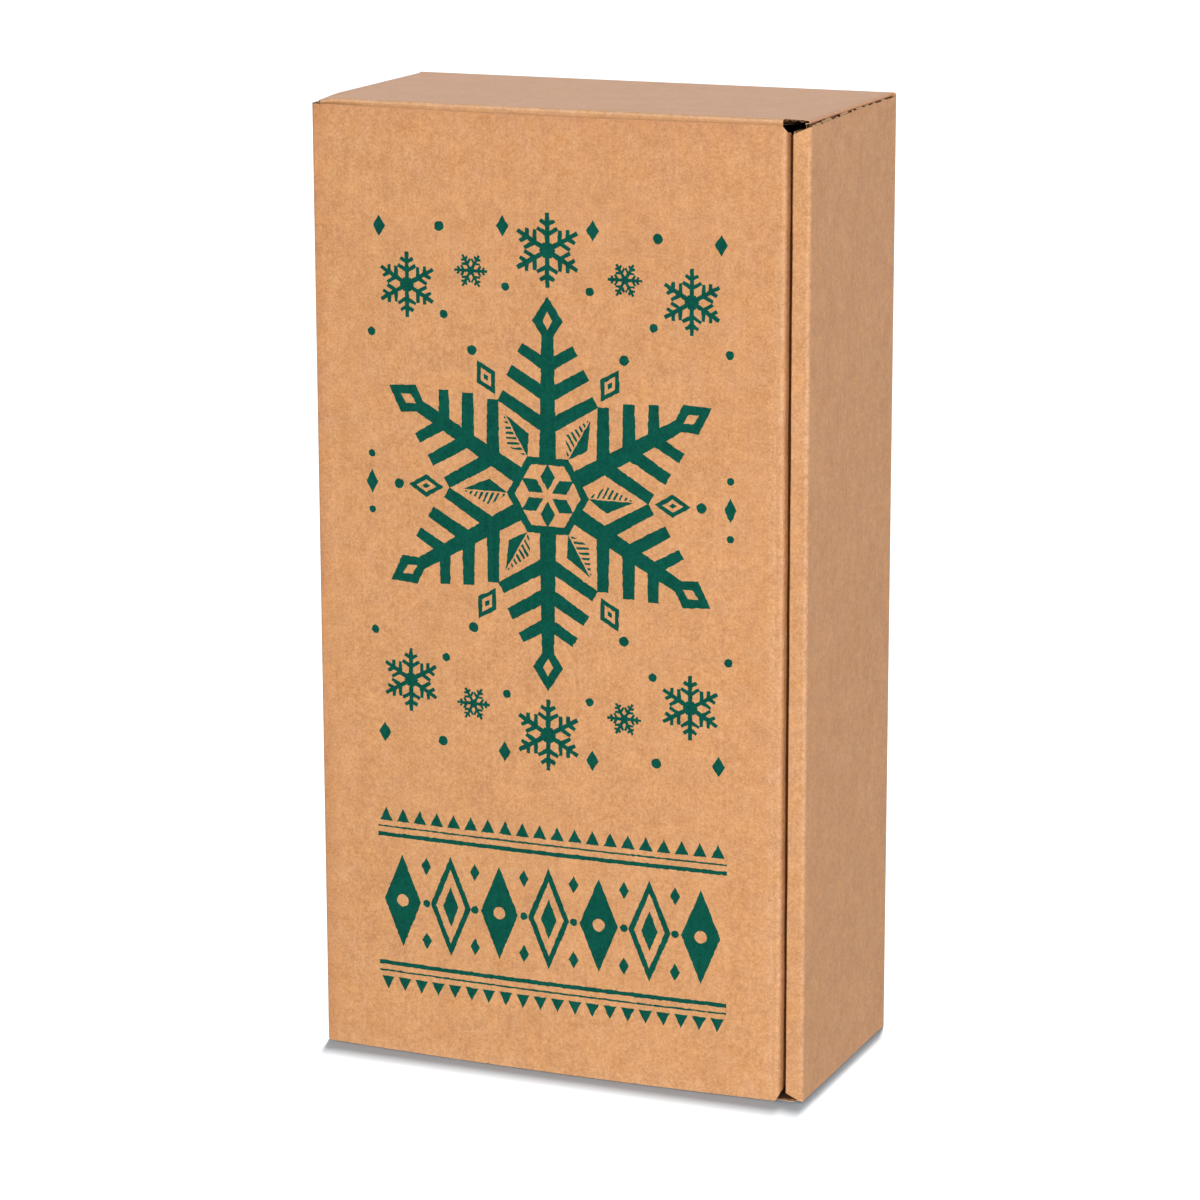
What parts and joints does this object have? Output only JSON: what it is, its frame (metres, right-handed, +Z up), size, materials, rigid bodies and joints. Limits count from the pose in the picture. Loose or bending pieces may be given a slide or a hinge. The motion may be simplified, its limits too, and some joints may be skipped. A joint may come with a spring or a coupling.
{
  "type": "cardboard wine box",
  "caption": "Upright carton of folded corrugated board for wine bottles side by side: side-hinged printed lid with a tuck flap, rolled-over walls, corner flaps and a folded bottle divider.",
  "frame": {"origin": "middle of the carton's footprint, on the surface it stands on (bottom centre of its box)", "axes": "+Z up along the carton's height; the lid faces -Y; the lid's hinge crease is on the -X side and the open seam on the +X side"},
  "size_m": [0.192, 0.0978, 0.36],
  "materials": {
    "kraft_board": "matt",
    "printed_board": "matt, with dark green print",
    "divider_board": "matt, uncoated"
  },
  "bodies": {
    "carton": {"back_panel": "kraft_board", "left_wall": "kraft_board", "right_wall_outer": "kraft_board", "right_wall_edge": "kraft_board", "right_wall_inner": "kraft_board", "top_wall_outer": "kraft_board", "top_wall_edge": "kraft_board", "top_wall_inner": "kraft_board", "bottom_wall_outer": "kraft_board", "bottom_wall_edge": "kraft_board", "bottom_wall_inner": "kraft_board", "top_left_corner_flap": "kraft_board", "top_right_corner_flap": "kraft_board", "bottom_left_corner_flap": "kraft_board", "bottom_right_corner_flap": "kraft_board", "divider_left_base": "divider_board", "divider_left_web": "divider_board", "divider_front_fold": "divider_board", "divider_right_web": "divider_board", "divider_right_base": "divider_board"},
    "lid": {"lid_panel": "printed_board"},
    "tuck_flap": {"lid_tuck_flap": "kraft_board"}
  },
  "joints": [
    {"name": "lid_hinge", "type": "hinge", "parent": "carton", "child": "lid", "pos_m": [-0.096, -0.0461, 0.18], "axis": [0, 0, -1], "range_deg": [0, 175]},
    {"name": "tuck_crease", "type": "hinge", "parent": "lid", "child": "tuck_flap", "pos_m": [0.0882, -0.0461, 0.18], "axis": [0, 0, -1], "range_deg": [0, 45]}
  ],
  "couplings": [
    {"joint": "tuck_crease", "follows": "lid_hinge", "ratio": 0.25}
  ]
}
